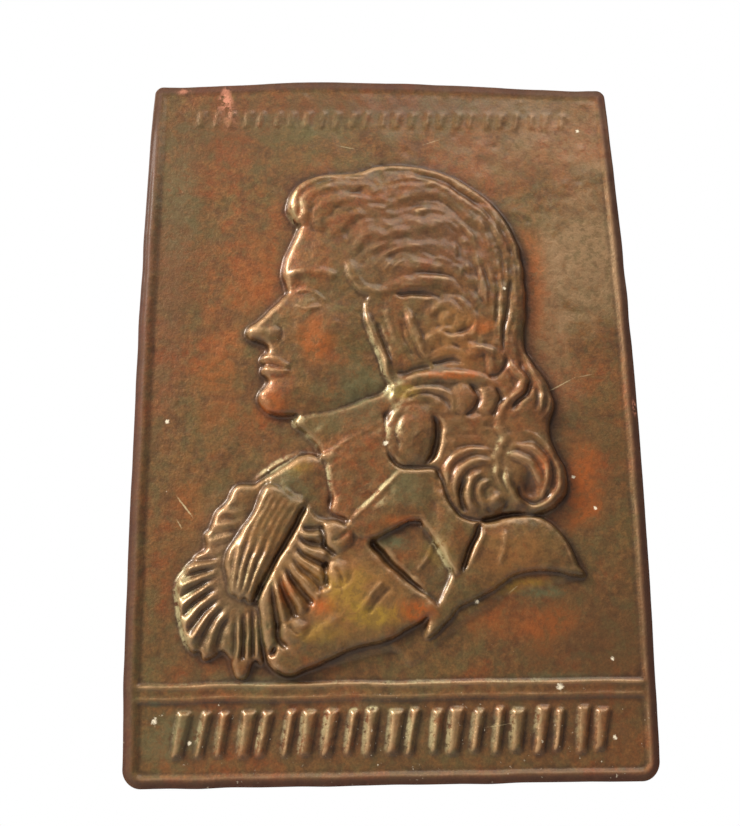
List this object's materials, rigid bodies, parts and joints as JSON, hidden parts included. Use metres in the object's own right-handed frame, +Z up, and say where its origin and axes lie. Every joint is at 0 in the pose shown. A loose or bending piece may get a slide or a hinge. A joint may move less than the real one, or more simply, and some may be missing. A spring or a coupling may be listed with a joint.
{
  "type": "relief plaque",
  "caption": "Upright cast metal relief plaque: raised rim, low bust in profile on a plain field, a bar and a band of shallow strokes below, flat behind for a wall.",
  "frame": {"origin": "middle of the flat back, where the plaque meets the wall", "axes": "+Z up, +Y into the wall, the relief faces -Y"},
  "size_m": [0.154, 0.0088, 0.2215],
  "materials": {
    "plaque": "sand-cast copper alloy, brown patina with orange and green stains, worn bright on edges"
  },
  "bodies": {
    "root": {"plaque": "plaque"}
  },
  "joints": []
}
